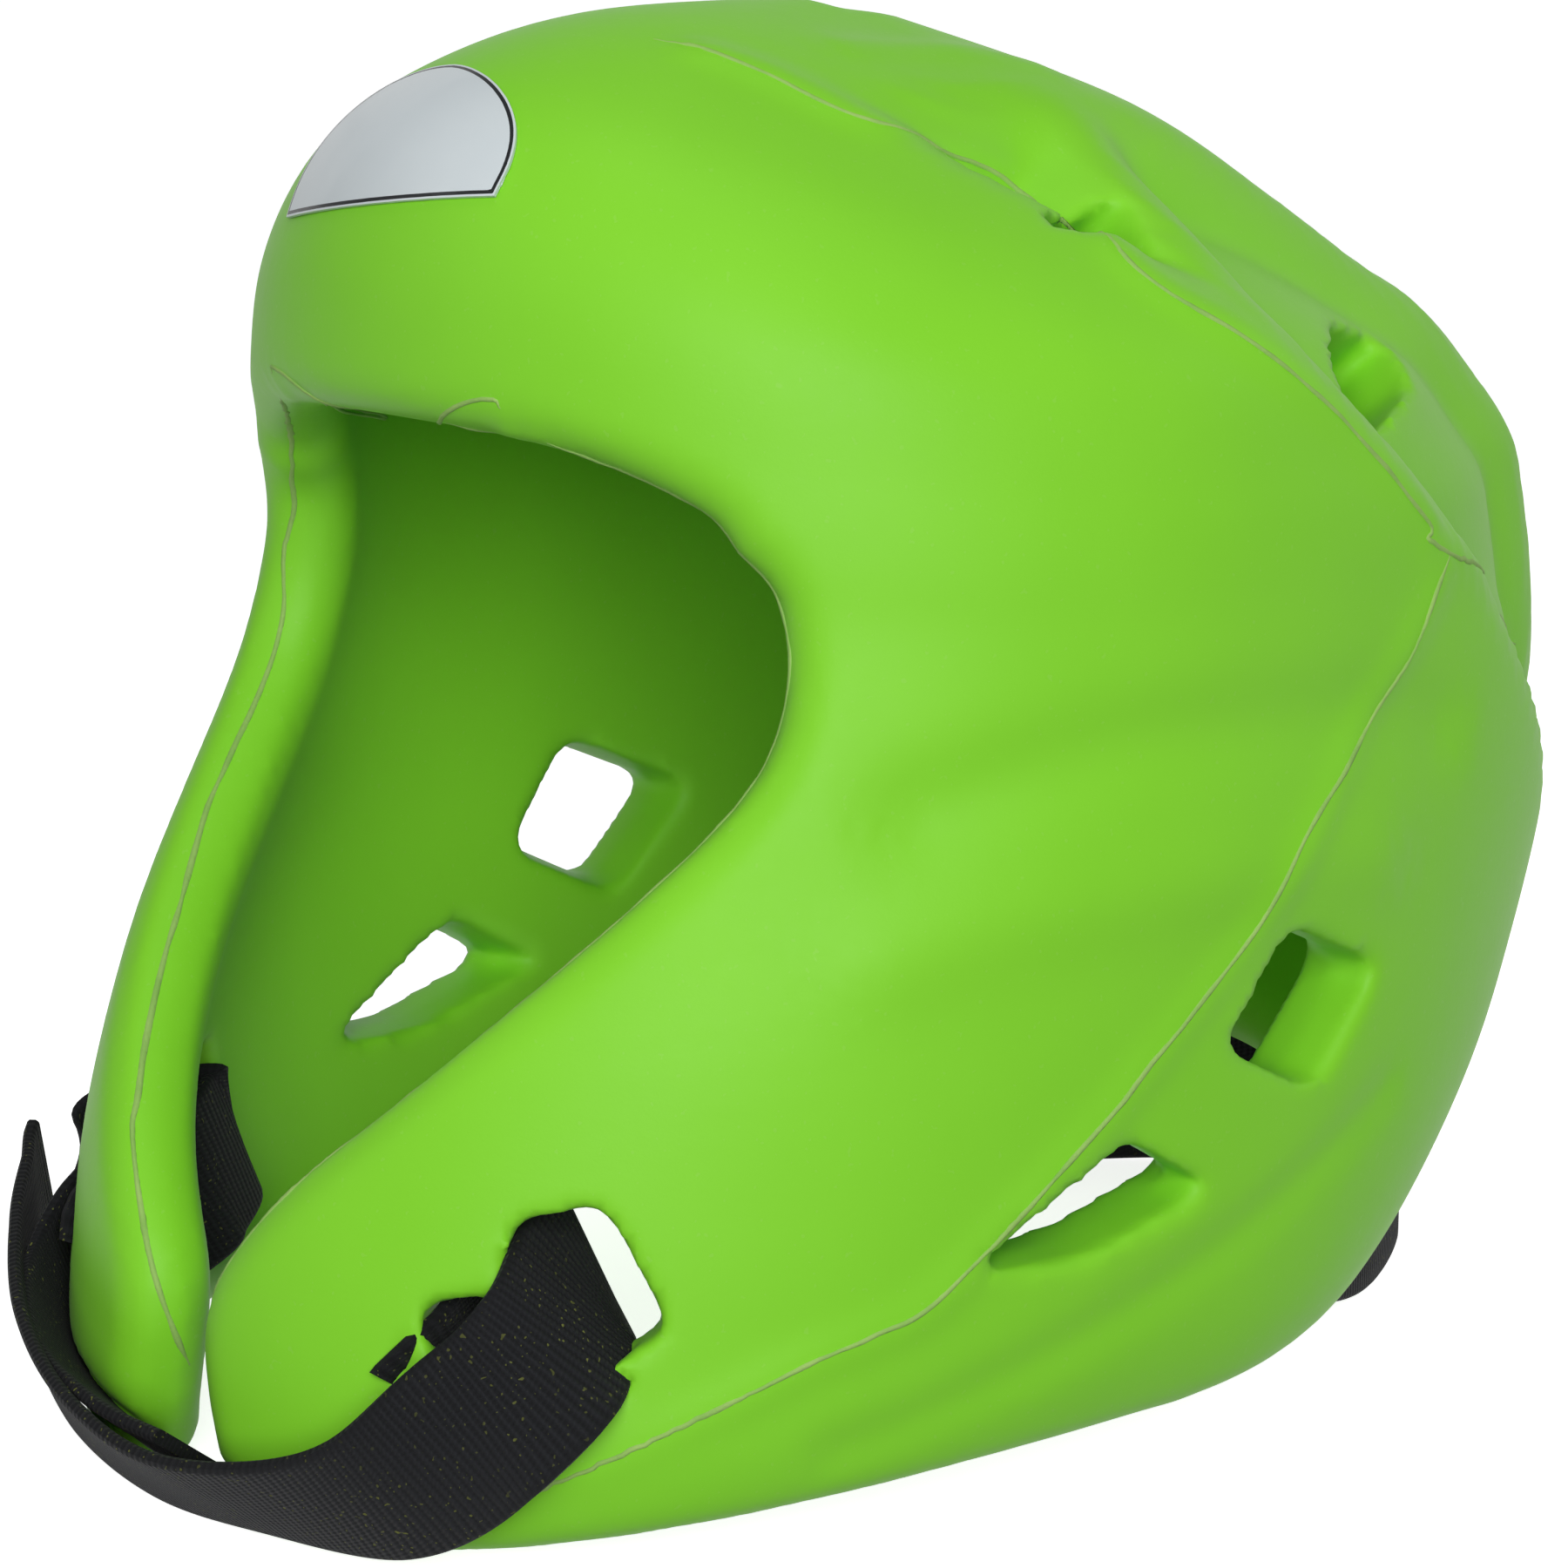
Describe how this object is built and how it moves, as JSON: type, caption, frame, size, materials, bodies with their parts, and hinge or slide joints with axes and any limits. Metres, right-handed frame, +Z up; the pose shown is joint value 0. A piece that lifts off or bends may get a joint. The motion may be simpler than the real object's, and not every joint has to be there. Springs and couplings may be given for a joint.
{
  "type": "head guard",
  "caption": "Moulded foam head guard for kick-boxing, open at the face, with ear holes, crown vents, a closed chin strap and a nape strap.",
  "frame": {"origin": "on the surface that the guard stands on, under the middle of its box", "axes": "+Z up, -Y the way the face opening looks, +X the wearer's left"},
  "size_m": [0.2, 0.3052, 0.229],
  "materials": {
    "foam": "satin skin of moulded foam, bright green",
    "webbing": "ribbed black webbing",
    "label": "blank satin label"
  },
  "bodies": {
    "root": {"shell": "foam", "chin_strap_left": "webbing", "chin_strap_right": "webbing", "nape_strap": "webbing", "forehead_label": "label"}
  },
  "joints": []
}
